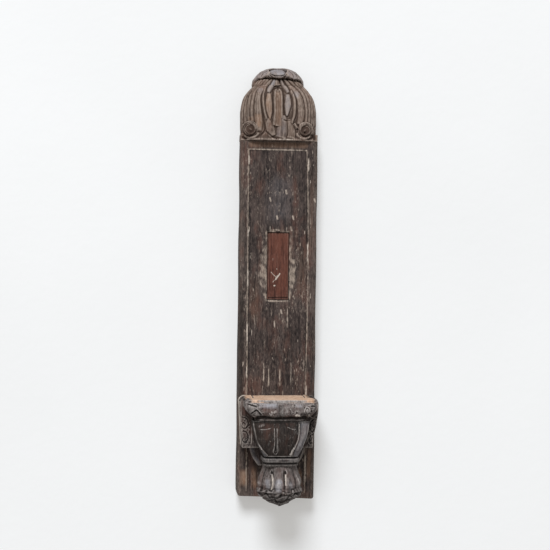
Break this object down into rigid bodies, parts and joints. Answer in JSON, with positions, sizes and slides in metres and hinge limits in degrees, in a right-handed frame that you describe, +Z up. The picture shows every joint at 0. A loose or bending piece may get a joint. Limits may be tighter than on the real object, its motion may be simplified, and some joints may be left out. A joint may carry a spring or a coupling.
{
  "type": "door knocker",
  "caption": "Carved dark wooden door knocker: a tall back board under a petalled crest, with a bud-ended hammer that swings on a pin near its foot.",
  "frame": {"origin": "on the flat back, on the board's centre line, about half-way up", "axes": "+Z up along the board, +Y out of its back into the door, +X to the right as seen from the front, which faces -Y"},
  "size_m": [0.0984, 0.101, 0.5505],
  "materials": {
    "dark_wood": "old dark stain, worn along the edges",
    "hammer_wood": "hand-polished dark stain, grey where it is worn",
    "crest_wood": "weathered brown with dark grooves",
    "plug_wood": "reddish, plain sawn",
    "peg_wood": "bare",
    "iron": "forged, dark"
  },
  "bodies": {
    "board": {"backboard": "dark_wood", "mortise_plug": "plug_wood", "crest_block": "crest_wood", "crest_cap": "crest_wood", "crest_button": "crest_wood", "crest_dowel_left": "peg_wood", "crest_dowel_right": "peg_wood", "cap_dowel": "peg_wood", "hinge_block": "dark_wood", "block_peg_upper_left": "peg_wood", "block_peg_upper_right": "peg_wood", "block_peg_lower_left": "peg_wood", "block_peg_lower_right": "peg_wood", "hinge_pin": "iron", "anvil_stud": "iron", "hanger_plate": "iron", "hanger_nail_left": "iron", "hanger_nail_right": "iron"},
    "hammer": {"hammer_capital": "hammer_wood", "hammer_vase": "hammer_wood", "hammer_collar": "hammer_wood", "hammer_bud": "hammer_wood", "hammer_spindle": "peg_wood", "strike_stud": "iron"}
  },
  "joints": [
    {"name": "hammer_swing", "type": "hinge", "parent": "board", "child": "hammer", "pos_m": [0, -0.052, -0.151], "axis": [-1, 0, 0], "range_deg": [0, 90]}
  ]
}
